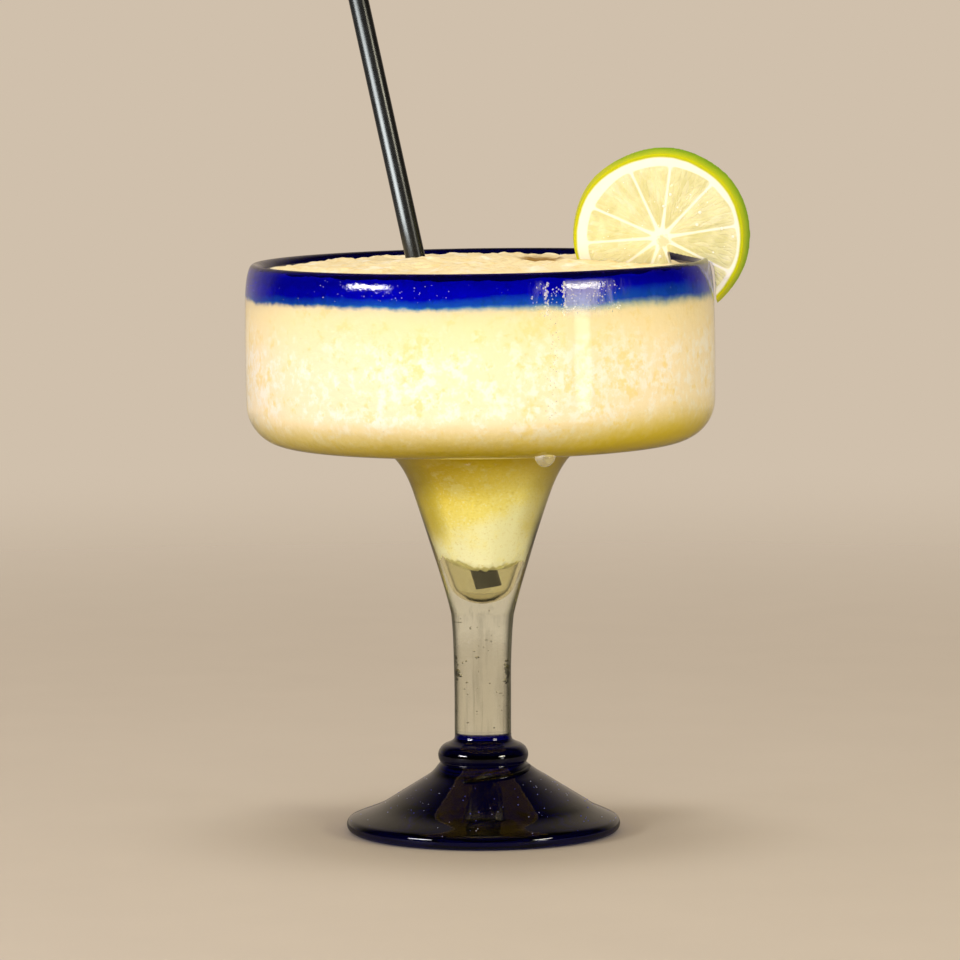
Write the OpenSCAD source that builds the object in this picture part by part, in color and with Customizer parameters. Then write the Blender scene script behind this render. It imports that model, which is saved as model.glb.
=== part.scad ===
// Frozen margarita in a hand-blown glass: a clear bowl and solid stem, a cobalt rim and foot,
// iced slush filled to the brim, a straight black straw and a slit lime wheel on the rim.
// The origin is the middle of the foot's resting face. +X is towards the lime, -Y is the front.

/* [Bowl] */
// Height of the lip above the table
glass_h = 156; // [152:1:160]
// Outside radius of the bowl
bowl_r = 63.75; // [62:0.25:66]
// Thickness of the bowl wall
wall_t = 3; // [2.5:0.25:3.5]
// Thickness of the rounded, fire-polished lip
lip_t = 4.2; // [3.6:0.2:4.6]
// How far the lip leans in from the widest part of the wall
lip_inset = 0.5; // [0.25:0.25:1.5]
// Height of the bowl's underside
bowl_base_z = 106; // [104:0.5:108]
// Radius of the bowl's lower corner, outside
corner_r = 11.5; // [9:0.5:14]
// Depth of the cobalt band from the lip down
band_h = 9; // [6:0.5:14]

/* [Funnel and stem] */
// Radius of the solid stem
stem_r = 7.7; // [7:0.1:8.5]
// Height at which the stem starts to open into the funnel
stem_top_z = 59.5; // [57:0.5:61]
// Outside radius of the funnel where it flares into the bowl
funnel_r = 18.85; // [17:0.05:20]
// Radius of the cavity's round end, inside the funnel
tip_r = 5.9; // [5.2:0.1:6.4]
// Height of the lowest point of the cavity
tip_z = 63.7; // [63:0.1:66]

/* [Foot] */
// Radius of the foot
foot_r = 37.4; // [33:0.2:42]
// Radius of the foot's rounded edge
foot_edge_r = 2; // [1.6:0.1:2.4]
// Radius of the knop above the foot
knop_r = 12.3; // [11.5:0.1:13]
// Height of the join between the cobalt knop and the clear stem
neck_z = 26.7; // [26:0.1:28]
// Height of the shallow hollow under the foot
kick_h = 3; // [1:0.25:3.5]

/* [Slush] */
// Drop from the lip to the slush at the wall
slush_drop = 2.2; // [1.5:0.1:6]
// Rise of the slush from the wall to its middle
slush_dome = 2.8; // [0.5:0.1:4]

/* [Straw] */
// Outside diameter of the straw
straw_d = 5.4; // [4:0.1:6]
// Thickness of the straw's wall
straw_wall = 0.3; // [0.2:0.05:0.5]
// Length of the straw
straw_len = 197; // [150:1:220]
// Lean of the straw from upright, towards -X
straw_lean = 12.1; // [8:0.1:12.5]

/* [Lime wheel] */
// Radius of the wheel's back face
lime_r = 24; // [22:0.5:26]
// How much smaller the front face is, as the fruit narrows towards its end
lime_taper = 1.9; // [0:0.1:2.5]
// Thickness of the wheel
lime_t = 5.5; // [4:0.5:7]
// How far the wheel's top leans to the front, and its right side turns to the front
lime_turn = 6; // [0:0.5:8]
// Angle below the horizontal of the slit's edge that rests on the lip
slit_upper = 13; // [12:0.5:14]
// Angle below the horizontal of the slit's edge inside the glass
slit_lower = 79; // [74:0.5:84]

/* [Hidden] */
$fn = 120;
steps = 10;                            // straight pieces in each curve of an outline
lip_r = lip_t / 2;
lip_mid = [bowl_r - lip_inset - lip_r, glass_h - lip_r];
underside_rise = 0.6;                  // the underside climbs this much from funnel to corner
corner_mid = [bowl_r - corner_r, bowl_base_z + underside_rise + corner_r];
inner_r = bowl_r - wall_t;
inner_floor_z = corner_mid[1] - (corner_r - wall_t);
band_z = glass_h - band_h;
stem_top_r = stem_r + 0.8;
funnel_z = bowl_base_z - 12.7;         // the funnel is nearly straight up to this height
funnel_wall = 6.85;                    // thickness of the glass there
cavity_slope = 14;                     // degrees that the cavity opens from upright
mouth_r = 28;                          // the cavity's mouth in the bowl's floor
knop_tube = 3.35;                      // radius of the knop's rounded side
knop_mid_z = 20.9;
crease_z = 18.8;                       // the groove between knop and foot
cone_top = [15.4, 15.65];              // the straight part of the foot's slope
cone_base = [28.6, 7.3];
rest_w = 4;                            // width of the flat ring that the foot stands on
straw_foot = [1.35, 0, 68];            // middle of the straw's lower end
lime_mid = [49.2, 0, 162.4];
slit_apex = [1.5, -3.8];               // the slit starts a little below the wheel's core
lime_gap = 0.15;                       // clearance between the wheel and the glass

function arc(mid, r, from, to) =
    [for (i = [0:steps]) let (a = from + (to - from) * i / steps) mid + r * [cos(a), sin(a)]];

// A cubic curve from a to d that leaves a towards b and reaches d from c.
function curve(a, b, c, d) =
    [for (i = [0:steps]) let (t = i / steps, s = 1 - t)
        s * s * s * a + 3 * s * s * t * b + 3 * s * t * t * c + t * t * t * d];

function reversed(points) = [for (i = [len(points) - 1:-1:0]) points[i]];

function outer_wall() = concat(
    curve([stem_r, neck_z], [stem_r, neck_z + 15], [stem_r, stem_top_z - 8], [stem_top_r, stem_top_z]),
    curve([stem_top_r, stem_top_z], [stem_top_r + 1.4, stem_top_z + 6.5],
          [funnel_r - 3.8, funnel_z - 11.3], [funnel_r, funnel_z]),
    curve([funnel_r, funnel_z], [funnel_r + 2, funnel_z + 5.7],
          [funnel_r + 5.5, bowl_base_z - 0.4], [funnel_r + 12, bowl_base_z]),
    arc(corner_mid, corner_r, -90, 0),
    curve([bowl_r, corner_mid[1]], [bowl_r + 0.1, corner_mid[1] + 12],
          [bowl_r - 0.1, lip_mid[1] - 10], lip_mid + [lip_r, 0]));

// The cavity, from its lowest point on the axis up to the inside of the lip.
function cavity() = concat(
    arc([0, tip_z + tip_r], tip_r, -90, -cavity_slope),
    curve([funnel_r - funnel_wall, funnel_z], [funnel_r - 5.2, funnel_z + 6.6],
          [mouth_r - 9, inner_floor_z - 1], [mouth_r, inner_floor_z - 0.6]),
    arc(corner_mid, corner_r - wall_t, -90, 0),
    curve([inner_r, corner_mid[1]], [inner_r, corner_mid[1] + 15],
          [inner_r - 0.2, lip_mid[1] - 11], lip_mid - [lip_r, 0]));

module glass_section() {
    polygon(concat([[0, neck_z]], outer_wall(), arc(lip_mid, lip_r, 0, 180), reversed(cavity())));
}

module bowl() {
    color([0.86, 0.88, 0.82, 0.5])
    rotate_extrude()
    intersection() {
        glass_section();
        square([2 * bowl_r, band_z]);
    }
}

module rim_band() {
    color([0, 0.05, 0.6])
    rotate_extrude()
    intersection() {
        glass_section();
        translate([0, band_z]) square([2 * bowl_r, band_h]);
    }
}

// The foot and knop are one gather of cobalt glass, drawn out to a thin rolled edge.
module foot() {
    edge_mid = [foot_r - foot_edge_r, foot_edge_r];
    rest_in = edge_mid[0] - rest_w;
    color([0.02, 0.02, 0.25])
    rotate_extrude()
    polygon(concat(
        [[0, kick_h]],
        curve([rest_in / 3, kick_h], [rest_in * 2 / 3, kick_h], [rest_in - 3, 0.4], [rest_in, 0]),
        arc(edge_mid, foot_edge_r, -90, 64),
        curve([foot_r - 1.12, 3.8], [foot_r - 3.7, 5.05], [cone_base[0] + 2.2, cone_base[1] - 1.4], cone_base),
        curve(cone_top, cone_top + [-1.1, 0.7], [knop_r + 0.9, crease_z - 1.4], [knop_r - 0.5, crease_z]),
        arc([knop_r - knop_tube, knop_mid_z], knop_tube, -38, 75),
        [[stem_r, neck_z - 1.1], [stem_r, neck_z], [0, neck_z]]));
}

// Slush fills the cavity to the brim, humped in the middle, with one sunken, melting spot.
module heap() {
    level = glass_h - slush_drop;
    rotate_extrude()
    intersection() {
        polygon(concat(cavity(), [[inner_r, glass_h + slush_dome], [0, glass_h + slush_dome]]));
        polygon(concat([[0, 0], [bowl_r, 0], [bowl_r, level - 0.2]],
                       curve([lip_mid[0], level], [lip_mid[0] * 0.7, level + slush_dome * 0.7],
                             [lip_mid[0] * 0.4, level + slush_dome], [0, level + slush_dome])));
    }
}

// A low round hump that stands out of the heap, cut from a large ball.
module hump(at, width, rise) {
    r = (width * width + rise * rise) / (2 * rise);
    translate([at[0], at[1], glass_h - slush_drop + rise - r])
    intersection() {
        sphere(r);
        translate([0, 0, r - 2 * rise]) cylinder(h = 2 * rise, r = width);
    }
}

module drink() {
    color([0.98, 0.93, 0.68])
    difference() {
        union() {
            heap();
            hump([-16, 4], 26, 3.9);
            hump([14, 20], 22, 3.6);
        }
        translate([17, 14, glass_h + 9.8]) sphere(11);
        straw_place() cylinder(h = straw_len, d = straw_d);
        lime_wheel();
    }
}

module straw_place() {
    translate(straw_foot) rotate([0, -straw_lean, 0]) children();
}

module straw() {
    bore_d = straw_d - 2 * straw_wall;
    color([0.06, 0.06, 0.06])
    straw_place()
    difference() {
        cylinder(h = straw_len, d = straw_d);
        translate([0, 0, -1]) cylinder(h = straw_len + 2, d = bore_d);
    }
}

// The rim's wall with the clearance that the slit leaves round it.
module wall_clearance() {
    rotate_extrude()
    translate([0, -lime_gap])
    difference() {
        union() {
            square([bowl_r + lime_gap, lip_mid[1] + lime_gap]);
            translate(lip_mid + [0, lime_gap]) circle(lip_r + lime_gap);
        }
        square([lip_mid[0] - 1, 2 * glass_h]);
    }
}

module lime_wheel() {
    reach = 2 * lime_r;
    lip_side = bowl_r - lime_mid[0] - 1.2;
    color([0.80, 0.85, 0.35])
    difference() {
        translate(lime_mid)
        rotate([90 + lime_turn, 0, -lime_turn])
        difference() {
            cylinder(h = lime_t, r1 = lime_r, r2 = lime_r - lime_taper, center = true);
            linear_extrude(height = reach, center = true)
            polygon([slit_apex,
                     [lip_side, slit_apex[1] - (lip_side - slit_apex[0]) * tan(slit_upper)],
                     [lip_side, -reach],
                     [slit_apex[0] + reach / tan(slit_lower), -reach]]);
        }
        wall_clearance();
    }
}

bowl();
rim_band();
foot();
drink();
straw();
lime_wheel();
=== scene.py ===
import math
import random

import bmesh
import bpy
from mathutils import Matrix, Vector, noise


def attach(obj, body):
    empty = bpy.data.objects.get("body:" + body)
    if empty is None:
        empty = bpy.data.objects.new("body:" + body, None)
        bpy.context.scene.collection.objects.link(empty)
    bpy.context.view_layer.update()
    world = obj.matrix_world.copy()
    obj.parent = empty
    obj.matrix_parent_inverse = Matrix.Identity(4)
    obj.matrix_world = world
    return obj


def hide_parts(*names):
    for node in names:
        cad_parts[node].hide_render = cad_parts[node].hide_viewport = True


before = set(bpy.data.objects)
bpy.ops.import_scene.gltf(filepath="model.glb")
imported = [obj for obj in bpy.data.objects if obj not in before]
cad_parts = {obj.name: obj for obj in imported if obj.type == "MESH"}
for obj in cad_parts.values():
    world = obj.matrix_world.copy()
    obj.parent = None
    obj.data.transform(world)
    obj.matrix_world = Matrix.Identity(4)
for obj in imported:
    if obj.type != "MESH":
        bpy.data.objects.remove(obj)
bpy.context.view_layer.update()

# Camera: a long lens well back from the drink and a little above its rim, tipped down at it and
# rolled by a hair.
MM = 0.001
camera_height, camera_distance = 247.3 * MM, 1600 * MM
camera_tip, camera_roll = math.radians(90 - 5.395), math.radians(-0.285)
lens = bpy.data.cameras.new("long_lens")
lens.lens, lens.sensor_width, lens.shift_x = 221.4, 36, -0.0019
camera = bpy.data.objects.new("camera", lens)
camera.location = (0, -camera_distance, camera_height)
camera_turn = Matrix.Rotation(camera_tip, 3, "X") @ Matrix.Rotation(camera_roll, 3, "Z")
camera.rotation_euler = camera_turn.to_euler()
bpy.context.scene.collection.objects.link(camera)
bpy.context.scene.camera = camera
bpy.context.scene.view_settings.view_transform = "Standard"


# Studio: a pale matt table that fades into a warm grey surround, with soft boxes at the left and
# right of the front. The left one is the main light. A low one fills from the front, and one hangs
# overhead.
class Link:
    """One socket in a node tree. Sums on links add Math nodes to the same tree."""

    def __init__(self, tree, socket=None):
        self.tree, self.socket = tree, socket

    def node(self, kind, settings=(), values=(), out=0):
        made = self.tree.nodes.new(kind)
        for name, value in dict(settings).items():
            if name == "stops":
                stops = made.color_ramp.elements
                stops[0].position, stops[1].position = value[0][0], value[-1][0]
                for place, _ in value[1:-1]:
                    stops.new(place)
                for stop, (_, colour) in zip(stops, value):
                    stop.color = (*colour, 1)
            else:
                setattr(made, name, value)
        for name, value in dict(values).items():
            if isinstance(value, Link):
                self.tree.links.new(value.socket, made.inputs[name])
            else:
                made.inputs[name].default_value = value
        return Link(self.tree, made.outputs[out])

    def sum(self, operation, a, b):
        return self.node("ShaderNodeMath", {"operation": operation}, {0: a, 1: b})

    def __add__(self, other): return self.sum("ADD", self, other)
    def __radd__(self, other): return self.sum("ADD", other, self)
    def __sub__(self, other): return self.sum("SUBTRACT", self, other)
    def __rsub__(self, other): return self.sum("SUBTRACT", other, self)
    def __mul__(self, other): return self.sum("MULTIPLY", self, other)
    def __rmul__(self, other): return self.sum("MULTIPLY", other, self)
    def __truediv__(self, other): return self.sum("DIVIDE", self, other)
    def __pow__(self, other): return self.sum("POWER", self, other)


def tint(red, green, blue):
    """A colour as it looks on a screen, 0 to 255, made the linear one that a shader takes."""
    return tuple((v / 255 / 12.92) if v <= 10 else ((v / 255 + 0.055) / 1.055) ** 2.4
                 for v in (red, green, blue))


def rise(value, low, high):
    """0 below low, 1 above high, and a smooth slope between them. high may be the lower one."""
    if high < low:
        return 1 - rise(value, high, low)
    return value.node("ShaderNodeMapRange", {"interpolation_type": "SMOOTHSTEP"},
                      {"Value": value, "From Min": low, "From Max": high})


def blend(mask, a, b):
    """Colour a where the mask is 0 and b where it is 1."""
    as_input = [c if isinstance(c, Link) else (*c, 1) for c in (a, b)]
    return mask.node("ShaderNodeMix", {"data_type": "RGBA"}, {0: mask, 6: as_input[0], 7: as_input[1]}, out=2)


def start_finish(name):
    """A new material with an empty node tree, as a Link to build it from."""
    material = bpy.data.materials.new(name)
    material.use_nodes = True
    material.node_tree.nodes.clear()
    return material, Link(material.node_tree)


def end_finish(shader):
    output = shader.tree.nodes.new("ShaderNodeOutputMaterial")
    shader.tree.links.new(shader.socket, output.inputs["Surface"])


def place_of(tree):
    """Links to a point's x, y and z in millimetres, and to the point itself."""
    point = tree.node("ShaderNodeTexCoord", out=3)
    scaled = tree.node("ShaderNodeVectorMath", {"operation": "SCALE"}, {0: point, "Scale": 1 / MM})
    axes = [tree.node("ShaderNodeSeparateXYZ", (), {0: scaled}, out=i) for i in range(3)]
    return (*axes, scaled)


def speckle(point, size, detail=3.0, rough=0.55):
    """Noise with lumps of about this size in millimetres."""
    return point.node("ShaderNodeTexNoise", (), {
        "Vector": point, "Scale": 1 / size, "Detail": detail, "Roughness": rough})


def add_piece(name, mesh, material):
    """Links a bmesh to the scene as a smooth-shaded piece."""
    data = bpy.data.meshes.new(name)
    mesh.to_mesh(data)
    mesh.free()
    data.shade_smooth()
    data.materials.append(material)
    made = bpy.data.objects.new(name, data)
    bpy.context.scene.collection.objects.link(made)
    return made


table_r, table_fade, table_drop = 1500, (260, 1100), 0.15
table_colour, surround = tint(199, 190, 178), tint(208, 192, 172)
table_finish, tree = start_finish("pale_table")
x, y, z, point = place_of(tree)
away = (x * x + y * y) ** 0.5
grain = speckle(point, 40, 4)
# Painted reflection: in glossy reflections the table is darkened to about a third of its colour.
mirrored = tree.node("ShaderNodeLightPath", out="Is Glossy Ray") * tree.node(
    "ShaderNodeLightPath", out="Is Reflection Ray")
table_tone = blend(grain, table_colour, tuple(c * 0.94 for c in table_colour))
table_shade = tree.node("ShaderNodeBsdfPrincipled", (), {
    "Base Color": blend(mirrored * 0.65, table_tone, (0, 0, 0)), "Roughness": 0.62})
end_finish(tree.node("ShaderNodeMixShader", (), {
    0: rise(away, *table_fade), 1: table_shade, 2: tree.node("ShaderNodeBsdfTransparent")}))
bm = bmesh.new()
bmesh.ops.create_circle(bm, cap_ends=True, segments=128, radius=table_r * MM,
                        matrix=Matrix.Translation((0, 0, -table_drop * MM)))
table = add_piece("table", bm, table_finish)

world = bpy.data.worlds.new("surround")
world.use_nodes = True
sky = Link(world.node_tree)
toward_back = sky.node("ShaderNodeSeparateXYZ", (), {0: sky.node("ShaderNodeTexCoord", out=0)}, out=1)
# Painted reflection: in glossy reflections the surround is nearly black, growing lighter towards the back.
mirrored = sky.node("ShaderNodeLightPath", out="Is Glossy Ray") * sky.node(
    "ShaderNodeLightPath", out="Is Reflection Ray")
dark_in_reflections = mirrored * (0.98 - 0.74 * rise(toward_back, 0.42, 0.98))
world.node_tree.links.new(blend(dark_in_reflections, surround, (0, 0, 0)).socket,
                          world.node_tree.nodes["Background"].inputs["Color"])
bpy.context.scene.world = world

aim = Vector((0, 0, 130 * MM))
soft_boxes = (  # turn from the front, rise, distance, width, height, watts, colour, seen in gloss
    (-57, 17, 1200, 500, 155, 6.1, (1, 0.965, 0.97), True),
    (52, 17, 1200, 380, 125, 3.6, (1, 0.96, 0.74), True),
    (50, 3, 1200, 200, 380, 0.7, (1, 0.97, 0.95), True),
    (-6, -3, 1300, 700, 150, 4.4, (1, 0.97, 0.86), False),
    (180, 88, 1200, 500, 500, 5.0, (1, 0.97, 0.92), False),
)


def hang_lamp(name, toward, away_by, wide, high, watts, colour):
    """An oblong area lamp at this direction and distance from the drink, facing it. Its cloth is
    brightest in the middle and fades towards the edges."""
    box = bpy.data.lights.new(name, "AREA")
    box.shape, box.size, box.size_y = "RECTANGLE", wide * MM, high * MM
    box.energy, box.color = watts, colour
    box.use_nodes = True
    cloth = Link(box.node_tree).node("ShaderNodeNewGeometry", out=5)
    across, up = (cloth.node("ShaderNodeSeparateXYZ", (), {0: cloth}, out=i) for i in (0, 1))
    glow = (across * (1 - across) * up * (1 - up) * 16) ** 0.6 * 1.75
    box.node_tree.links.new(glow.socket, box.node_tree.nodes["Emission"].inputs["Strength"])
    lamp = bpy.data.objects.new(name, box)
    lamp.location = aim + toward * away_by * MM
    lamp.rotation_euler = toward.to_track_quat("Z", "Y").to_euler()
    bpy.context.scene.collection.objects.link(lamp)
    return lamp


def direction(turn, up):
    """The way to a lamp that stands at this turn from the front and this rise, in degrees."""
    turn, up = math.radians(turn), math.radians(up)
    return Vector((math.sin(turn) * math.cos(up), -math.cos(turn) * math.cos(up), math.sin(up)))


for number, (turn, up, away_by, wide, high, watts, colour, gloss) in enumerate(soft_boxes):
    lamp = hang_lamp(f"soft_box_{number}", direction(turn, up), away_by, wide, high, watts, colour)
    lamp.visible_glossy, lamp.visible_transmission = gloss, False


# Bowl, funnel and stem: one gather of clear glass with a pale green cast, blown and drawn by
# hand. Its lip is dipped in cobalt glass, whose lower edge thins to light blue. The bowl leans a little.
glass_h, bowl_r, wall_t, lip_r = 156, 63.75, 3, 2.1
lip_mid, corner_mid, corner_r = (61.15, 153.9), (52.25, 118.1), 11.5
neck_z, stem_r, stem_top = 26.7, 7.7, (8.5, 59.5)
funnel, funnel_wall, mouth_r = (18.85, 93.3), 6.85, 28
inner_r, inner_funnel_r = bowl_r - wall_t, funnel[0] - funnel_wall
tip_r, tip_z = 5.9, 63.7
cobalt_z = 146.1  # where the blue begins
lean, lean_from, lean_over, lean_mid = math.tan(math.radians(0.54)), 98, 10, 105


def arc(mid, r, start, end, steps=14):
    turns = [math.radians(start + (end - start) * i / steps) for i in range(steps + 1)]
    return [(mid[0] + r * math.cos(t), mid[1] + r * math.sin(t)) for t in turns]


def curve(a, b, c, d, steps=16):
    """A cubic curve from a to d that leaves a towards b and reaches d from c."""
    made = []
    for i in range(steps + 1):
        t = i / steps
        weights = ((1 - t) ** 3, 3 * (1 - t) ** 2 * t, 3 * (1 - t) * t * t, t ** 3)
        made.append(tuple(sum(w * p[k] for w, p in zip(weights, (a, b, c, d))) for k in (0, 1)))
    return made


def joined(*runs):
    """Runs of points as one line, without the points that repeat where two runs meet."""
    line = []
    for at in (at for run in runs for at in run):
        if not line or math.dist(at, line[-1]) > 0.02:
            line.append(at)
    return line


def turned(outline, steps=192):
    """A solid turned about the z axis from (radius, height) points in millimetres, ends on the axis."""
    bm = bmesh.new()
    rail = [bm.verts.new((r * MM, 0, h * MM)) for r, h in outline]
    edges = [bm.edges.new(pair) for pair in zip(rail, rail[1:])]
    bmesh.ops.spin(bm, geom=rail + edges, axis=(0, 0, 1), cent=(0, 0, 0), angle=2 * math.pi,
                   steps=steps, use_merge=True)
    bmesh.ops.remove_doubles(bm, verts=bm.verts, dist=0.001 * MM)
    bmesh.ops.recalc_face_normals(bm, faces=bm.faces)
    return bm


def lean_bowl(bm):
    """Tips everything above the funnel with the bowl, which isn't quite square to its stem."""
    for v in bm.verts:
        share = min(max((v.co.z / MM - lean_from) / lean_over, 0), 1)
        v.co.z += v.co.x * lean * share
        v.co.x -= (v.co.z - lean_mid * MM) * lean * share


outer_wall = joined(
    curve((stem_r - 0.3, neck_z - 1.5), (stem_r, neck_z - 0.5), (stem_r, neck_z), (stem_r, neck_z + 1), 4),
    curve((stem_r, neck_z + 1), (stem_r, 41.7), (stem_r, 51.5), stem_top),
    curve(stem_top, (9.9, 66), (15.05, 82), funnel),
    curve(funnel, (20.85, 99), (24.35, 105.6), (30.85, 106)),
    arc(corner_mid, corner_r, -90, 0),
    curve((bowl_r, 118.1), (bowl_r + 0.1, 130.1), (bowl_r + 0.05, 141), (63.6, 147.5)),
    curve((63.6, 147.5), (63.45, 150.3), (63.15, 152.6), (62.65, 154.1), 8),
    curve((62.65, 154.1), (62.3, 155.3), (61.8, 156), (61.1, 156), 8))
cavity = joined(
    arc((0, tip_z + tip_r), tip_r, -90, -14),
    curve((inner_funnel_r, funnel[1]), (13.65, 99.9), (19, 108.6), (mouth_r, 109)),
    arc(corner_mid, corner_r - wall_t, -90, 0),
    curve((inner_r, 118.1), (inner_r, 133.1), (inner_r - 0.2, 142.9), (59.05, 153.9)))
glass_outline = joined([(0, neck_z - 1.5)], outer_wall, arc(lip_mid, lip_r, 90, 180, 12), cavity[::-1])
bm = turned(glass_outline, 240)
for v in bm.verts:
    wave = noise.noise(v.co * 45) * 0.18 + noise.noise(v.co * 120) * 0.05
    out = Vector((v.co.x, v.co.y, 0))
    if out.length > 3 * MM:
        v.co += out.normalized() * wave * MM
lean_bowl(bm)

clear_colour, stem_colour, cord_and_edge_shade = (0.93, 0.945, 0.90), (0.88, 0.89, 0.76), (0.022, 0.024, 0.014)
cobalt_deep, cobalt_dark = (0.0000001, 0.0000002, 0.90), (0.0000001, 0.0000001, 0.36)
cobalt_thin, cobalt_pale, teal_pale = (0.0001, 0.014, 0.98), (0.01, 0.36, 1.0), (0.09, 0.45, 0.62)
navy_shade, mist_white = (0.00006, 0.00002, 0.012), (0.68, 0.69, 0.86)
clear_finish, tree = start_finish("clear_and_cobalt_glass")
x, y, z, point = place_of(tree)
level = z - x * lean
ragged = (speckle(point, 14, 2) - 0.5) * 2.4 + (speckle(point, 2.5, 3) - 0.5) * 1.6
right = rise(x, -15, 45)
fringe = 1.4 + 1.2 * right
depth = level - cobalt_z - ragged + 1.2 * right
in_cobalt = rise(depth / fringe, 0, 1)
# Painted shade: the stem and funnel glass darkens where it is seen edge-on, a little more on the right side.
# The same dark colour also marks the drawn cords in the stem.
facing = tree.node("ShaderNodeLayerWeight", (), {"Blend": 0.5}, out=1)
painted_edge_shade = rise(facing + rise(x, -3, 5) * 0.10 - rise(z, 58, 74) * 0.24, 0.32, 0.64) * rise(z, 100, 82)
drawn = tree.node("ShaderNodeVectorMath", {"operation": "MULTIPLY"}, {0: point, 1: (1, 1, 0.05)})
drawn_lines = speckle(drawn, 1.1, 3) * rise(z, 72, 60)
body = blend(rise(z, 106, 90), clear_colour, stem_colour)
body = blend(rise(drawn_lines, 0.50, 0.70) * 0.30, body, cord_and_edge_shade)
body = blend(painted_edge_shade, body, cord_and_edge_shade)
cobalt = blend(rise(depth / fringe, 0.3, 1.3), blend(right, cobalt_pale, teal_pale), cobalt_thin)
cobalt = blend(rise(depth / fringe + (speckle(point, 6, 3) - 0.5), 0.9, 2.6), cobalt, cobalt_deep)
# Painted shade: the cobalt darkens towards the band's left and right ends, more at the left.
band_end_shade = rise(x, -20, -50) * 0.7 + rise(x, 30, 62) * 0.4
deep_top = rise(level + (speckle(point, 5, 3) - 0.5) * 5, 150.5, 154)
cobalt = blend(deep_top * 0.6 + band_end_shade, cobalt, cobalt_dark)
# Painted shade: the band's inner face below the lip and the top of the lip are darkened to near-black navy.
shaded_inner_side = rise((x * x + y * y) ** 0.5, 61.9, 61.2) * rise(level, 147, 150)
cobalt = blend(shaded_inner_side + rise(level, 154.4, 155.7), cobalt, navy_shade)
ripple = tree.node("ShaderNodeBump", (), {
    "Strength": 0.16, "Distance": 0.4 * MM,
    "Height": (speckle(point, 9, 2) + speckle(point, 2, 2) * 0.15 + drawn_lines * 0.35
               + in_cobalt * (speckle(point, 1.3, 3) * 0.8 + speckle(point, 3.5, 2) * 0.9))})
glass_shade = tree.node("ShaderNodeBsdfPrincipled", (), {
    "Base Color": blend(in_cobalt, body, cobalt), "Roughness": in_cobalt * 0.035, "IOR": 1.5,
    "Transmission Weight": 1.0, "Normal": ripple})
run_off = (rise(x + (speckle(point, 3, 2) - 0.5) * 1.5, 17.4, 18.2)
           * rise(x + (speckle(point, 2, 2) - 0.5), 22.4, 21.4))
trickled = tree.node("ShaderNodeVectorMath", {"operation": "MULTIPLY"}, {0: point, 1: (1, 1, 0.25)})
mist_grain = speckle(trickled, 1.5, 4, 0.7) + rise(x, 21.5, 23) * rise(x, 36, 26) * 0.30
mist_area = (rise(x, 12, 17.5) * rise(x, 41, 28) * rise(y, -20, -30)
             * rise(level, 143, 147.5) * rise(level, 154.2, 152.8))
mist = mist_area * (1 - run_off * rise(level, 144.5, 145.5)) * rise(mist_grain, 0.42, 0.74)
misted = tree.node("ShaderNodeMixShader", (), {
    0: mist * (0.16 + 0.40 * speckle(trickled, 2.5, 3)), 1: glass_shade,
    2: tree.node("ShaderNodeBsdfDiffuse", (), {"Color": (*mist_white, 1)})})
lamp_ray = tree.node("ShaderNodeLightPath", out=1)
end_finish(tree.node("ShaderNodeMixShader", (), {
    0: lamp_ray, 1: misted,
    2: tree.node("ShaderNodeBsdfTransparent", (), {"Color": (0.95, 0.95, 0.93, 1)})}))
bowl = add_piece("bowl_glass", bm, clear_finish)
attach(bowl, "root")
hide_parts("bowl", "rim_band")


# Foot: a second gather of cobalt glass, so thick that it is almost black. A round knop sits on a
# cone that is drawn out to a thin rolled edge, and a thread of glass winds round under the knop.
foot_r, foot_edge_r, knop_r, knop_tube, knop_mid_z = 37.4, 2, 12.3, 3.35, 20.9
cone_top, cone_base, crease = (15.4, 15.65), (28.6, 7.3), (11.8, 18.8)
cone_shift = 0.9
foot_outline = joined(
    [(0, 3)], curve((10.5, 3), (21, 3), (28.4, 0.4), (31.4, 0)),
    arc((foot_r - foot_edge_r, foot_edge_r), foot_edge_r, -90, 64),
    curve((36.28, 3.8), (33.7, 5.05), (30.8, 5.9), cone_base),
    curve(cone_base, (24.2, 10.08), (19.8, 12.87), cone_top),
    curve(cone_top, (14.3, 16.35), (13.2, 17.4), crease),
    arc((knop_r - knop_tube, knop_mid_z), knop_tube, -38, 75),
    [(8.6, 24.7), (7.95, 25.2), (7.75, 25.9), (7.7, neck_z), (0, neck_z)])


def cone_slide(height):
    """How far the cone stands off centre at this height."""
    return cone_shift * max(0, min(1, (height - 3.8) / 4, (18.6 - height) / 3.4))


bm = turned(foot_outline)
for v in bm.verts:  # the cone is drawn out a little off centre
    if v.co.z > 3 * MM and v.co.xy.length > 3 * MM:
        v.co += Vector((v.co.x, v.co.y, 0)).normalized() * noise.noise(v.co * 60) * 0.12 * MM
        v.co.x += cone_slide(v.co.z / MM) * MM

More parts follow.
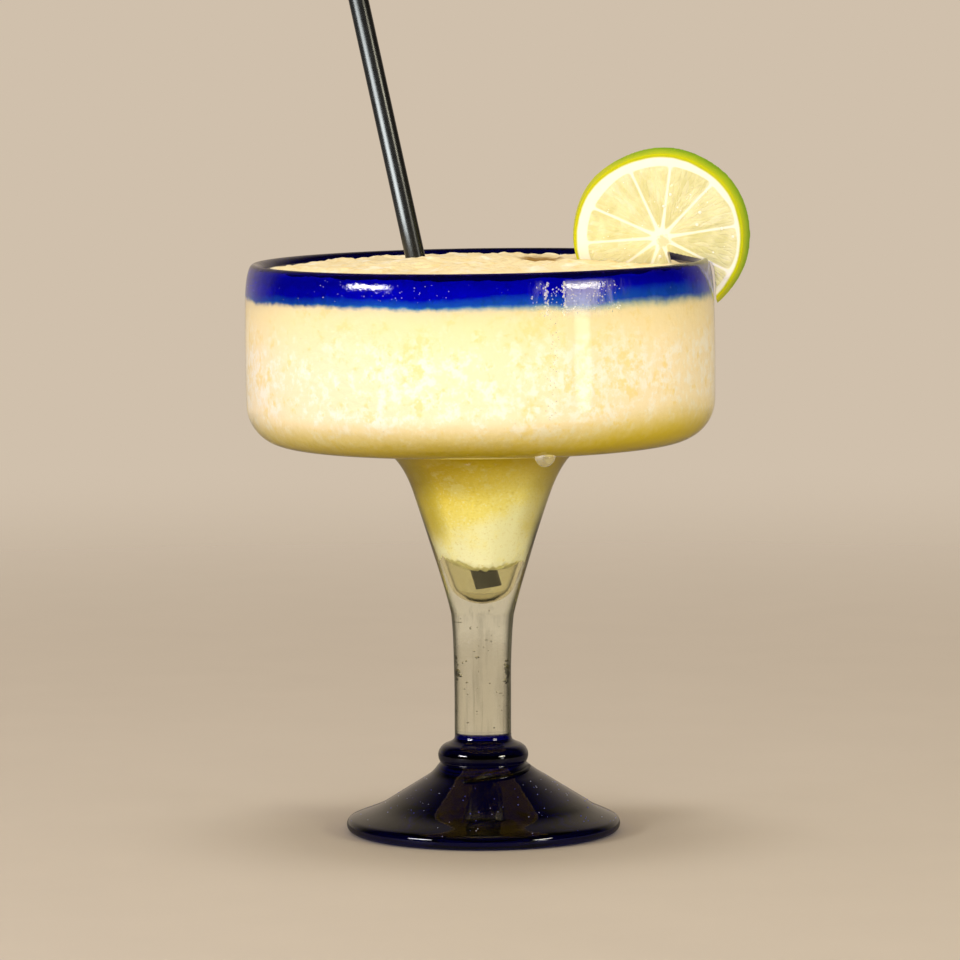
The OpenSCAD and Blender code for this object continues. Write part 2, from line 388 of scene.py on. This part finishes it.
thread_r, thread_from, thread_turns, thread_drop, thread_steps = 0.38, -13, 100, 2.9, 60
thread_start = (12.6, 18.3)
thread = bmesh.new()
bmesh.ops.create_circle(thread, cap_ends=True, segments=12, radius=thread_r * MM,
                        matrix=Matrix.Rotation(math.radians(90), 4, "X"))
bmesh.ops.translate(thread, vec=(thread_start[0] * MM, 0, thread_start[1] * MM), verts=thread.verts)
bmesh.ops.spin(thread, geom=thread.verts[:] + thread.edges[:] + thread.faces[:], axis=(0, 0, -1),
               cent=(0, 0, 0), dvec=(0, 0, -thread_drop / thread_steps * MM),
               angle=math.radians(thread_turns), steps=thread_steps)
bmesh.ops.rotate(thread, matrix=Matrix.Rotation(math.radians(thread_from), 3, "Z"), verts=thread.verts)
for v in thread.verts:  # the cone grows wider as the thread sinks, so the thread moves out with it
    sunk = thread_start[1] - v.co.z / MM
    v.co.xy *= (thread_start[0] + 0.15 + max(0, sunk) * 1.1) / thread_start[0]
    v.co.x += cone_slide(v.co.z / MM) * MM
bmesh.ops.recalc_face_normals(thread, faces=thread.faces)

foot_dark, foot_blue = (0.0004, 0.0002, 0.018), (0.001, 0.002, 0.30)
foot_finish, tree = start_finish("deep_cobalt_glass")
x, y, z, point = place_of(tree)
# Painted glints: sparse lighter-blue flecks stand in for small bubbles catching the light. The thin edge and
# the collar are bluer glass.
glint_fleck = tree.node("ShaderNodeTexVoronoi", (), {"Vector": point, "Scale": 0.55, "Randomness": 1.0})
thin = rise(z, 3.2, 1.2) * rise((x * x + y * y) ** 0.5, 33, 36)
collar = rise(z, 25.0, 25.8)
blue_and_glint_share = thin * 0.5 + collar + rise(glint_fleck, 0.16, 0.08) * 0.8
foot_shade = tree.node("ShaderNodeBsdfPrincipled", (), {
    "Base Color": blend(blue_and_glint_share, foot_dark, foot_blue), "Roughness": 0.0, "IOR": 1.5,
    "Transmission Weight": 1.0,
    "Normal": tree.node("ShaderNodeBump", (), {"Strength": 0.15, "Distance": 0.3 * MM,
                                               "Height": speckle(point, 7, 3)})})
lamp_ray = tree.node("ShaderNodeLightPath", out=1)
end_finish(tree.node("ShaderNodeMixShader", (), {
    0: lamp_ray, 1: foot_shade,
    2: tree.node("ShaderNodeBsdfTransparent", (), {"Color": (0.10, 0.11, 0.30, 1)})}))
foot = add_piece("cobalt_foot", bm, foot_finish)
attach(foot, "root")
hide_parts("foot")
foot_thread = add_piece("foot_thread", thread, foot_finish)
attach(foot_thread, "root")


# Seeds: specks of trapped air that lie just under the skin of the cobalt glass, in the foot and in
# the band. Each is a tiny pale bead, half sunk in the surface, and its pale colour is a painted glint.
def radius_at(line, height):
    """The widest radius of an outline of (radius, height) points at this height."""
    crossed = [(a, b) for a, b in zip(line, line[1:])
               if min(a[1], b[1]) <= height <= max(a[1], b[1]) and a[1] != b[1]]
    return max(a[0] + (b[0] - a[0]) * (height - a[1]) / (b[1] - a[1]) for a, b in crossed)


def add_bead(bm, at, size, outward=(0, 0, 1), flat=1.0, rounds=1):
    """A small round bead, squashed along outward."""
    place = Matrix.Translation(Vector(at) * MM)
    turn = Vector(outward).to_track_quat("Z", "Y").to_matrix().to_4x4()
    bmesh.ops.create_icosphere(bm, subdivisions=rounds, radius=size * MM,
                               matrix=place @ turn @ Matrix.Diagonal((1, 1, flat, 1)))


def leaned(at):
    """Where a point of the upright bowl comes to when the bowl is leaned."""
    return (at[0] - (at[2] - lean_mid) * lean, at[1], at[2] + at[0] * lean)


chance = random.Random(11)
seeds = bmesh.new()
for _ in range(170):
    height, turn = 3.6 + 11.5 * chance.random() ** 1.3, chance.uniform(0, 2 * math.pi)
    r = radius_at(foot_outline, height)
    at = (r * math.cos(turn) + cone_slide(height), r * math.sin(turn), height)
    add_bead(seeds, at, chance.uniform(0.07, 0.15))
for _ in range(90):
    height, turn = chance.uniform(148, 154), chance.uniform(0, 2 * math.pi)
    r = radius_at(outer_wall, height)
    at = (r * math.cos(turn), r * math.sin(turn), height)
    add_bead(seeds, leaned(at), chance.uniform(0.05, 0.12))
seed_finish, tree = start_finish("seed_glint")
x, y, z, point = place_of(tree)
end_finish(tree.node("ShaderNodeBsdfPrincipled", (), {
    "Base Color": blend(rise(speckle(point, 5, 1), 0.42, 0.60), (0.05, 0.07, 0.60), (0.42, 0.46, 0.66)),
    "Roughness": 0.25, "IOR": 1.5}))
seed_beads = add_piece("glass_seeds", seeds, seed_finish)
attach(seed_beads, "root")


# Air bubbles: a few small round ones that were trapped in the solid stem when its gather was drawn
# out, with two loose clouds of bigger ones half way up, one at each side.
bubbles = bmesh.new()
for _ in range(46):
    height, turn = chance.uniform(29, 62), chance.uniform(0, 2 * math.pi)
    r = (radius_at(outer_wall, height) - 0.7) * math.sqrt(chance.uniform(0.05, 1))
    add_bead(bubbles, (r * math.cos(turn), r * math.sin(turn), height), chance.uniform(0.08, 0.26), rounds=2)
bubble_clouds = ((-5.9, 44.4, 26), (5.4, 43.9, 44))  # side, height, count
for side, height, count in bubble_clouds:
    for _ in range(count):
        at = Vector((side + chance.gauss(0, 0.6), chance.gauss(-1.5, 1.0), height + chance.gauss(0, 1.5)))
        at.xy *= min(1, 6.9 / at.xy.length)
        add_bead(bubbles, at, chance.uniform(0.2, 0.6), rounds=2, flat=chance.uniform(0.5, 1))
bubble_finish, tree = start_finish("trapped_air")
x, y, z, point = place_of(tree)
end_finish(tree.node("ShaderNodeBsdfPrincipled", (), {
    "Base Color": blend(speckle(point, 2), (0.75, 0.77, 0.72), (0.45, 0.46, 0.40)),
    "Roughness": 0.0, "IOR": 0.667, "Transmission Weight": 1.0}))
air = add_piece("air_bubbles", bubbles, bubble_finish)
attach(air, "root")


# Condensation: beads of water on the cold band and down the wall below it, where one drop has run
# to the bowl's lower edge and hangs there.
water = bmesh.new()
drop_at, drop_r = (16.65, -52.6, 107.1), 2.75


def wall_bead(across, height, size, flat=0.45, rounds=1):
    """A bead on the front of the bowl's outside, across and height in millimetres."""
    r = radius_at(outer_wall, height)
    at = (across, -math.sqrt(r * r - across * across), height)
    add_bead(water, leaned(at), size, outward=(at[0], at[1], 0), flat=flat, rounds=rounds)


for _ in range(150):
    wall_bead(chance.uniform(13.5, 37), 145 + 8.2 * chance.random(), chance.uniform(0.10, 0.30))
path_edges = (17.6, 22.2)
for edge in path_edges:  # the drop's path is wiped clear, with beads left along both its sides
    for step in range(26):
        wall_bead(edge + chance.gauss(0, 0.25), 144.8 + 0.34 * step, chance.uniform(0.18, 0.42), rounds=2)
for step in range(46):
    wall_bead(19.9 - 0.04 * step + chance.gauss(0, 0.9), 144.5 - 0.6 * step, chance.uniform(0.07, 0.20))
for _ in range(90):
    wall_bead(chance.uniform(-55, 58), chance.uniform(113, 145), chance.uniform(0.04, 0.10))
for _ in range(40):
    wall_bead(chance.gauss(-26, 12), chance.uniform(149, 153.4), chance.uniform(0.07, 0.18))
hanging = bmesh.ops.create_uvsphere(water, u_segments=40, v_segments=24, radius=drop_r * MM)["verts"]
for v in hanging:  # flat against the glass above, and a little narrower below
    v.co.z *= 0.95 if v.co.z < 0 else 0.45
    v.co.xy *= 1 - 0.12 * max(0, -v.co.z / (2.6 * MM))
    v.co += Vector(drop_at) * MM
water_finish, tree = start_finish("clear_water")
x, y, z, point = place_of(tree)
water_clear = tree.node("ShaderNodeBsdfPrincipled", (), {
    "Base Color": blend(speckle(point, 3), (0.97, 0.96, 0.90), (0.90, 0.88, 0.76)),
    "Roughness": 0.0, "IOR": 1.33, "Transmission Weight": 1.0})
water_shade = tree.node("ShaderNodeMixShader", (), {
    0: 0.04 + 0.14 * speckle(point, 1.5) + 0.3 * rise(z, 110, 116), 1: water_clear,
    2: tree.node("ShaderNodeBsdfDiffuse", (), {"Color": (0.95, 0.92, 0.78, 1)})})
lamp_ray = tree.node("ShaderNodeLightPath", out=1)
end_finish(tree.node("ShaderNodeMixShader", (), {
    0: lamp_ray, 1: water_shade,
    2: tree.node("ShaderNodeBsdfTransparent", (), {"Color": (0.97, 0.97, 0.95, 1)})}))
beads = add_piece("condensation", water, water_finish)
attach(beads, "root")


# Slush: iced lime and tequila, milled to wet grains. It fills the bowl to the brim and stands in
# low soft lumps, and its lower end in the funnel is ragged where it melts.
into_wall = 0.2
slush_level, dome = glass_h - 2.2, 2.3
lumps = (  # x, y, width, height
    (-16, 4, 26, 1.3), (14, 16, 22, 0.7), (-38, -20, 17, 0.8), (28, -28, 18, 0.7), (-6, -38, 16, 0.8))
pit = (16.5, 14, 6, 12, 2.4)  # x, y, half its width and length, depth
slush_end_z, ragged_z = 73.2, 86


def swell(line, by):
    """A line of (radius, height) points moved sideways, to the right of its own direction."""
    made = []
    for i, at in enumerate(line):
        before, after = line[max(i - 1, 0)], line[min(i + 1, len(line) - 1)]
        run = Vector((after[0] - before[0], after[1] - before[1])).normalized()
        made.append((max(at[0] + run.y * by, 0), at[1] - run.x * by))
    return made


def even(line, gap):
    """The same line with points at most this far apart."""
    made = [line[0]]
    for a, b in zip(line, line[1:]):
        parts = max(1, math.ceil(math.dist(a, b) / gap))
        made += [(a[0] + (b[0] - a[0]) * k / parts, a[1] + (b[1] - a[1]) * k / parts)
                 for k in range(1, parts + 1)]
    return made


wall_line = swell(cavity, into_wall)
slush_wall = [at for at in even(wall_line, 1.2) if slush_end_z < at[1] < slush_level - 0.6]
slush_top = [(r, slush_level) for r in [59.4 - 0.66 * i for i in range(90)]] + [(0, slush_level)]
end_r = slush_wall[0][0]
end_z = slush_wall[0][1]
slush_foot = even([(0, end_z - 0.9), (end_r - 1.4, end_z - 0.8), (end_r - 0.5, end_z - 0.5),
                   slush_wall[0]], 0.5)[:-1]
bm = turned(joined(slush_foot, slush_wall, slush_top), 300)
for v in bm.verts:
    at = v.co / MM
    across = math.hypot(at.x, at.y)
    if at.z > slush_level - 1:
        heap = dome * (1 - (across / 60) ** 2)
        heap += sum(h * math.exp(-((at.x - lx) ** 2 + (at.y - ly) ** 2) / (w * w / 2))
                    for lx, ly, w, h in lumps)
        heap -= pit[4] * math.exp(-((at.x - pit[0]) / pit[2]) ** 2 - ((at.y - pit[1]) / pit[3]) ** 2)
        grains = noise.voronoi(at * 0.42)[0][0]
        rough = 1.3 * noise.noise(at * 0.09) + 0.6 * noise.noise(at * 0.3) + 0.5 * (0.4 - grains)
        v.co.z += (heap + rough * min(1, (60.5 - across) / 3)) * MM
    elif at.z < ragged_z:  # the end stands higher at both sides, and stays against the glass as it rises
        up = (0.055 if at.x < 0 else 0.03) * at.x ** 2
        up += 0.7 * noise.noise(at * 0.4) + 0.6 * noise.noise(at * 1.1)
        up *= max(0, min(1, (ragged_z - at.z) / 12))
        fit = radius_at(wall_line, at.z + up) / radius_at(wall_line, max(at.z, end_z))
        v.co = Vector((at.x * fit, at.y * fit, at.z + up)) * MM
lean_bowl(bm)

ice_cream, ice_white, ice_yellow = (0.98, 0.845, 0.62), (0.99, 0.94, 0.87), (0.95, 0.765, 0.37)
golden, peach = (0.68, 0.51, 0.012), (0.97, 0.80, 0.44)
top_colour, foam, syrup_and_pit_shade = (0.94, 0.81, 0.48), (0.99, 0.95, 0.78), (0.36, 0.19, 0.015)
slush_finish, tree = start_finish("iced_slush")
x, y, z, point = place_of(tree)
level = z - x * lean
cells = tree.node("ShaderNodeTexVoronoi", {"feature": "SMOOTH_F1"},
                  {"Vector": point, "Scale": 0.42, "Smoothness": 0.35, "Randomness": 1.0})
patches, drifts = speckle(point, 4.6, 5, 0.66), speckle(point, 20, 2)
fine = speckle(point, 1.5, 3, 0.62)
other = point.node("ShaderNodeVectorMath", {"operation": "ADD"}, {0: point, 1: (31.0, 17.0, 53.0)})
flakes = rise(speckle(other, 3.0, 5, 0.70) + (drifts - 0.5) * 0.4 - rise(level, 132, 147) * 0.09, 0.44, 0.62)
pocket = rise(patches + (fine - 0.5) * 0.5 + (drifts - 0.5) * 0.4 + (cells - 0.35) * 0.10, 0.54, 0.72)
mottled = blend(flakes, ice_cream, ice_white)
under_rim = rise(level + (patches - 0.5) * 9, 130, 146)
mottled = blend(under_rim * 0.8, mottled, peach)
mottled = blend(pocket * 0.9, mottled, ice_yellow)
# Painted shade: the slush darkens to gold towards the bowl's bottom corner, reaching higher on the right.
# Part of this is syrup settled there.
low = rise(level + (fine - 0.5) * 2 + (drifts - 0.5) * 3 - 3.2 * rise(x, 5, 60), 118.2, 108.4)
mottled = blend(low, mottled, golden)
funnel_part = tree.node("ShaderNodeValToRGB", {"stops": (
    (0.0, (0.99, 0.96, 0.66)), (0.34, (0.99, 0.95, 0.58)), (0.50, (0.98, 0.85, 0.24)),
    (0.72, (0.95, 0.76, 0.11)), (1.0, (0.74, 0.53, 0.01)))},
    {"Fac": (z + (patches - 0.5) * 10 + (drifts - 0.5) * 8 - 0.55 * x - 70) / 38})
funnel_part = blend(rise(patches, 0.50, 0.62) * 0.45, funnel_part, (0.99, 0.90, 0.36))
grain = speckle(other, 0.7, 3, 0.7)
funnel_part = blend(rise(grain, 0.54, 0.66) * (0.15 + 0.4 * rise(z, 102, 90)), funnel_part, (1.0, 0.97, 0.66))
funnel_part = blend(rise(grain, 0.44, 0.34) * 0.35, funnel_part, (0.72, 0.55, 0.06))
funnel_part = blend(rise(z, 98, 107) * 0.9, funnel_part, (0.58, 0.40, 0.004))
# Painted shade: the funnel's slush darkens towards its left and right sides as seen from the front, more at
# the left.
funnel_side_shade = rise((x * x) ** 0.5 / ((x * x + y * y) ** 0.5), 0.70, 0.98) * rise(z, 78, 86)
funnel_part = blend(funnel_side_shade * (0.46 + 0.32 * rise(x, 2, -8)), funnel_part, (0.55, 0.42, 0.02))
mottled = blend(rise(z, 109.6, 108), mottled, funnel_part)
on_top = rise(level, 153.0, 154.2)
upper = blend(rise(patches + (fine - 0.5) * 0.4, 0.50, 0.66) * 0.7, top_colour, (0.86, 0.66, 0.28))
upper = blend(rise(speckle(other, 7, 4), 0.52, 0.66) * 0.7, upper, foam)
# The dip in the top is coloured dark syrup. This is partly pooled syrup and partly painted shade in the dip.
pit_across = (x - pit[0] + (fine - 0.5) * 4) / pit[2]
pit_along = (y - pit[1] + (patches - 0.5) * 8) / pit[3]
sunk = (pit_across ** 2.0 + pit_along ** 2.0) ** 0.5
upper = blend(rise(sunk, 1.3, 0.6), upper, syrup_and_pit_shade)
mottled = blend(on_top, mottled, upper)
slush_bump = tree.node("ShaderNodeBump", (), {
    "Strength": 0.35, "Distance": 0.5 * MM, "Height": (fine + cells * 0.6) * (1 + on_top)})
end_finish(tree.node("ShaderNodeBsdfPrincipled", (), {
    "Base Color": mottled, "Roughness": 0.42, "IOR": 1.33, "Normal": slush_bump}))
slush = add_piece("slush", bm, slush_finish)
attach(slush, "root")
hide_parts("drink")


# Melt: the thin sweet liquor that has run out of the ice into the round end of the cavity, clear
# but faintly gold. The slush floats on it and reaches a little way down into it.
melt_top_z = 84.0
melt_wall = [(max(0, r - 0.08), h) for r, h in even(wall_line, 1.0) if h < melt_top_z]
melt_wall[0] = (0, melt_wall[0][1])
melt_top = even([melt_wall[-1], (0, melt_top_z)], 1.5)[1:]
bm = turned(joined(melt_wall, melt_top), 96)
melt_finish, tree = start_finish("clear_liquor")
x, y, z, point = place_of(tree)
melt_shade = tree.node("ShaderNodeBsdfPrincipled", (), {
    "Base Color": blend(speckle(point, 4, 3), (0.99, 0.93, 0.68), (0.96, 0.87, 0.54)),
    "Roughness": 0.03, "IOR": 1.34, "Transmission Weight": 1.0})
lamp_ray = tree.node("ShaderNodeLightPath", out=1)
end_finish(tree.node("ShaderNodeMixShader", (), {
    0: lamp_ray, 1: melt_shade,
    2: tree.node("ShaderNodeBsdfTransparent", (), {"Color": (0.93, 0.88, 0.68, 1)})}))
melt = add_piece("melt", bm, melt_finish)
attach(melt, "root")


# Straw: a thin-walled tube of glossy black plastic, extruded and cut square, and pushed down through
# the slush into the melt. A cool strip light of its own draws a line down its left side.
straw_r, straw_wall, straw_len, straw_lean = 2.7, 0.3, 197, math.radians(12.1)
straw_foot = Vector((1.35, 0, 68))
bore_r = straw_r - straw_wall
bm = turned([(bore_r, 0), (straw_r, 0), (straw_r, straw_len), (bore_r, straw_len), (bore_r, 0)], 64)
rims = [e for e in bm.edges if len(e.link_faces) == 2 and e.calc_face_angle(0) > 1]
bmesh.ops.bevel(bm, geom=rims, offset=0.1 * MM, offset_type="OFFSET", segments=3, profile=0.5, affect="EDGES",
                material=-1)
bmesh.ops.transform(bm, matrix=Matrix.Translation(straw_foot * MM) @ Matrix.Rotation(-straw_lean, 4, "Y"),
                    verts=bm.verts)
straw_finish, tree = start_finish("black_plastic")
x, y, z, point = place_of(tree)
scuff = speckle(point, 3, 4)
end_finish(tree.node("ShaderNodeBsdfPrincipled", (), {
    "Base Color": blend(scuff, (0.004, 0.004, 0.004), (0.009, 0.009, 0.009)),
    "Roughness": 0.20 + scuff * 0.12, "IOR": 1.5}))
straw = add_piece("straw_tube", bm, straw_finish)
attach(straw, "root")
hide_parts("straw")
straw_lit = bpy.data.collections.new("straw_lit")
straw_lit.objects.link(straw)
straw_strip = hang_lamp("straw_strip", direction(-43, -6), 500, 440, 380, 7.5, (0.93, 1, 1))
straw_strip.light_linking.receiver_collection = straw_lit
straw_strip.visible_transmission = False


# Lime wheel: a slice of fresh lime, with its rind, white pith and ten segments of juicy flesh. A slit
# from the core to the rind's lower side lets it stand on the lip.
lime_r, lime_taper, lime_t = 24, 1.15, 5.5
lime_mid = Vector((49.2, 0, 162.4))
front_shift = -0.45  # how far the front face is moved along x from the back one
slit_apex, slit_turn = (1.5, -3.8), 76.2
slit_over_lip = ((11.95, -6.2), (13.5, -6.85), (14.25, -8.5), (14.5, -12), (14.75, -17))
membranes = (9, 46.7, 82.3, 114.3, 156, 184, 216, 250, 288, 333)
rind_t, core_r = 0.85, 2.1
lime_swing, lime_tip = math.radians(-6), math.radians(96)
lime_place = (Matrix.Translation(lime_mid * MM) @ Matrix.Rotation(lime_swing, 4, "Z")
              @ Matrix.Rotation(lime_tip, 4, "X"))


def lime_edge(turn, height):
    """The wheel's radius at a turn about its axis and a height from its middle plane."""
    wobble = noise.noise(Vector((math.cos(turn) * 1.6, math.sin(turn) * 1.6, 3.3))) * 0.5
    forward = height / lime_t + 0.5
    skew = front_shift * math.cos(turn)
    fuller = 0.75 * max(0, -math.cos(turn)) ** 2
    return lime_r + (skew - lime_taper) * forward + wobble + fuller - 0.1


def flesh_depth(turn, r):
    """How deep a point lies inside its segment of flesh, in millimetres. It is negative in the pith."""
    degrees = math.degrees(turn) % 360
    sides = [abs((degrees - m + 180) % 360 - 180) for m in membranes]
    side = r * math.sin(math.radians(min(min(sides), 90))) - 0.14 - 0.25 * max(0, 1 - r / 9)
    unround = noise.noise(Vector((math.cos(turn) * 3, math.sin(turn) * 3, 0)))
    flesh_r = 19.75 + 0.75 * math.cos(turn) ** 2 + 0.15 * math.cos(turn) + 0.5 * unround
    parts = (side, flesh_r - r, (r - core_r) * 0.9)
    soft = 0.42
    low = min(parts)
    return low - soft * math.log(sum(math.exp(-(p - low) / soft) for p in parts))


bm = bmesh.new()
slit_side = slit_over_lip[-1][0]
ring = arc((0, 0), lime_r, -math.degrees(math.acos(slit_side / lime_r)), 360 - slit_turn, 140)
outline = ring + [slit_apex, *slit_over_lip]
back = bm.faces.new([bm.verts.new((px * MM, py * MM, -lime_t / 2 * MM)) for px, py in outline])
grown = bmesh.ops.extrude_face_region(bm, geom=[back])
front = [g for g in grown["geom"] if isinstance(g, bmesh.types.BMVert)]
for v in front:
    v.co.z = lime_t / 2 * MM
bmesh.ops.recalc_face_normals(bm, faces=bm.faces)
bmesh.ops.triangulate(bm, faces=bm.faces)
for v in bm.verts:
    r = v.co.xy.length
    if r > 23 * MM:
        v.co.xy *= lime_edge(math.atan2(v.co.y, v.co.x), v.co.z / MM) * MM / r
rough_cut = add_piece("rough_cut", bm, None)
fine_cut = rough_cut.modifiers.new("fine_cut", "REMESH")
fine_cut.mode, fine_cut.voxel_size = "VOXEL", 0.25 * MM
shaped = rough_cut.evaluated_get(bpy.context.evaluated_depsgraph_get())
cut_mesh = bpy.data.meshes.new_from_object(shaped)
bpy.data.objects.remove(rough_cut)
bm = bmesh.new()
bm.from_mesh(cut_mesh)
depth_layer, peel_layer = bm.verts.layers.float.new("flesh"), bm.verts.layers.float.new("peel")
for v in bm.verts:
    at = v.co / MM
    r, turn = math.hypot(at.x, at.y), math.atan2(at.y, at.x)
    depth = flesh_depth(turn, r)
    v[depth_layer] = max(-1.5, min(3, depth))
    v[peel_layer] = lime_edge(turn, at.z) - r
    face_share = min(1, max(0, (abs(at.z) - lime_t / 2 + 0.5) / 0.4))
    if face_share > 0 and lime_edge(turn, at.z) - r > 0.6:
        cells = noise.voronoi(Vector((turn * 15, r * 0.26, at.z * 0.1)))[0]
        bulge = 0.42 * min(1, max(0, depth) / 1.3)
        bulge *= 0.75 + 0.25 * min(1, (cells[1] - cells[0]) * 2.2)
        bulge -= 0.12
        v.co.z += math.copysign(bulge * face_share * MM, at.z)
bmesh.ops.transform(bm, matrix=lime_place, verts=bm.verts)

pith_white, flesh_pale, flesh_deep = (0.97, 0.95, 0.84), (0.86, 0.825, 0.52), (0.66, 0.63, 0.29)
core_shade_grey = (0.78, 0.72, 0.48)
rind_yellow, rind_green, rind_deep = (0.56, 0.57, 0.001), (0.42, 0.54, 0.003), (0.20, 0.36, 0.004)
lime_finish, tree = start_finish("fresh_lime")
local = tree.node("ShaderNodeMapping", {"vector_type": "TEXTURE"}, {
    "Vector": tree.node("ShaderNodeTexCoord", out=3), "Location": lime_mid * MM,
    "Rotation": (lime_tip, 0, lime_swing)})
local = tree.node("ShaderNodeVectorMath", {"operation": "SCALE"}, {0: local, "Scale": 1 / MM})
lx, ly, lz = (tree.node("ShaderNodeSeparateXYZ", (), {0: local}, out=i) for i in range(3))
r = (lx * lx + ly * ly) ** 0.5
turn = tree.node("ShaderNodeMath", {"operation": "ARCTAN2"}, {0: ly, 1: lx})
spokes = tree.node("ShaderNodeCombineXYZ", (), {0: turn * 15, 1: r * 0.26, 2: lz * 0.1})
sac = tree.node("ShaderNodeTexVoronoi", {"feature": "DISTANCE_TO_EDGE"}, {"Vector": spokes, "Scale": 1.0})
sac_tone = tree.node("ShaderNodeTexVoronoi", (), {"Vector": spokes, "Scale": 1.0}, out=1)
depth = tree.node("ShaderNodeAttribute", {"attribute_name": "flesh"}, out=2)
peel = tree.node("ShaderNodeAttribute", {"attribute_name": "peel"}, out=2)
cloud = speckle(local, 5, 4)
flesh = blend(rise(sac, 0.0, 0.3) * 0.15 + rise(cloud, 0.38, 0.66) * 0.6, flesh_pale, flesh_deep)
flesh = blend(rise(sac_tone, 0.55, 0.9) * 0.25, flesh, pith_white)
inside = blend(rise(depth, -0.05, 0.40), pith_white, flesh)
# Painted shade: the torn hollow at the core is greyed.
torn = speckle(local, 1.2, 4)
hollow = (((lx - 0.5) ** 2.0 + (ly + 0.9) ** 2.0) ** 0.5) + (torn - 0.5) * 3.2
inside = blend(rise(hollow, 2.0, 1.0), inside, core_shade_grey)
green_side = tree.node("ShaderNodeMath", {"operation": "COSINE"}, {0: turn - 0.75})
green = rise(green_side + (speckle(local, 8, 3) - 0.5) * 0.8, -0.35, 0.75)
rind = blend(green * rise(lz + (cloud - 0.5) * 3, 3.0, 0.6), rind_yellow, rind_green)
rind = blend(green * rise(lz + (cloud - 0.5) * 2, 1.4, -2.2), rind, rind_deep)
lime_colour = blend(rise(peel + (cloud - 0.5) * 0.5, rind_t + 0.3, rind_t - 0.3), inside, rind)
pores = tree.node("ShaderNodeTexVoronoi", (), {"Vector": local, "Scale": 1.1})
sac_relief = rise(depth, 0, 0.5) * rise(sac, 0, 0.2)
pore_relief = rise(peel, 0.8, 0.1) * rise(pores, 0.1, 0.35)
lime_bump = tree.node("ShaderNodeBump", (), {
    "Strength": 0.4, "Distance": 0.4 * MM, "Height": sac_relief + pore_relief * 0.6})
end_finish(tree.node("ShaderNodeBsdfPrincipled", (), {
    "Base Color": lime_colour, "Roughness": 0.45 - rise(depth, 0, 0.5) * 0.28, "IOR": 1.36,
    "Normal": lime_bump, "Specular IOR Level": 0.4,
    "Subsurface Weight": 0.25, "Subsurface Radius": (1, 0.9, 0.3), "Subsurface Scale": 1.5 * MM}))
lime = add_piece("lime_slice", bm, lime_finish)
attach(lime, "root")
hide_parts("lime_wheel")
juice = bmesh.new()
juice_drops = (  # across, up, size
    (12.1, 12.6, 0.42), (10.5, 6.9, 0.5), (9.7, 3.6, 0.5), (16.4, 2.5, 0.48), (19.4, 0.3, 0.42),
    (2.6, 11.8, 0.42), (8, 11.8, 0.3), (12.6, 9.6, 0.3), (4.5, 8.3, 0.36), (-10.1, 15.1, 0.24),
    (-14.5, -6.8, 0.36), (-9.9, -3, 0.3), (-0.4, -5.2, 0.5), (0.7, 8.6, 0.4), (-5.2, 7.7, 0.28),
    (14, -4, 0.34))
for across, up, size in juice_drops:
    add_bead(juice, (across, up, lime_t / 2 + 0.12), size, flat=0.6, rounds=2)
for _ in range(50):
    turn, r = chance.uniform(-0.4, math.pi + 0.9), 18.5 * math.sqrt(chance.random())
    at = (r * math.cos(turn), r * math.sin(turn), lime_t / 2 + 0.15)
    add_bead(juice, at, chance.uniform(0.1, 0.22), flat=0.6)
bmesh.ops.transform(juice, matrix=lime_place, verts=juice.verts)
# The juice beads are painted near white as a painted glint. The juice itself is clear.
juice_finish, tree = start_finish("juice_glint")
x, y, z, point = place_of(tree)
end_finish(tree.node("ShaderNodeBsdfPrincipled", (), {
    "Base Color": blend(speckle(point, 2), (1.0, 1.0, 0.93), (0.94, 0.93, 0.80)),
    "Roughness": 0.1, "IOR": 1.34}))
juice_beads = add_piece("lime_juice", juice, juice_finish)
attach(juice_beads, "root")
